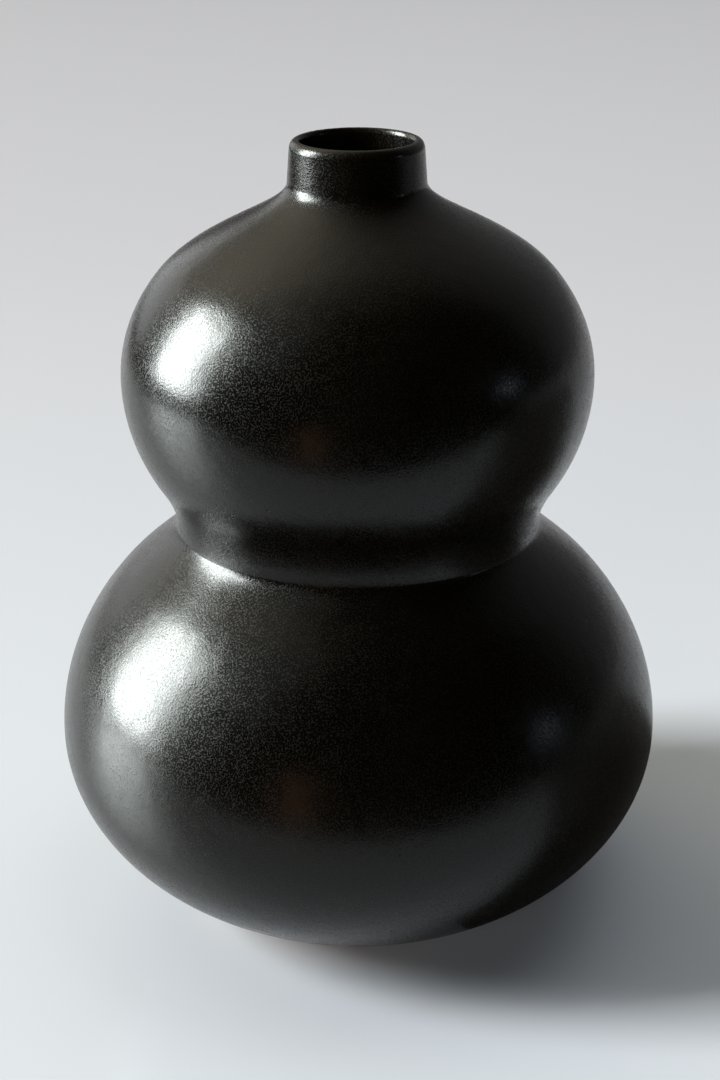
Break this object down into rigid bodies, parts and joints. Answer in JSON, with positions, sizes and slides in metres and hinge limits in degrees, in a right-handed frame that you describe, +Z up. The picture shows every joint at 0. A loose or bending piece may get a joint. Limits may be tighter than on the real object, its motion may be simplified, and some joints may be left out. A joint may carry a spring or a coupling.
{
  "type": "vase",
  "caption": "Double-gourd ceramic bottle vase: a wide lower bulb, coved waist, smaller upper bulb and a short narrow neck, dark satin glaze over a bare trimmed foot.",
  "frame": {"origin": "middle of the foot ring's resting face, on the vase's axis", "axes": "+Z up along the axis of revolution, from the foot to the mouth; X and Y are free, because the vase is round"},
  "size_m": [0.159, 0.159, 0.2061],
  "materials": {
    "bare_clay": "matte fired stoneware",
    "glaze": "satin metallic near-black glaze with a fine grain"
  },
  "bodies": {
    "root": {"foot_ring": "bare_clay", "lower_bulb": "bare_clay", "waist_band": "bare_clay", "upper_bulb": "bare_clay", "neck": "bare_clay", "glaze": "glaze"}
  },
  "joints": []
}
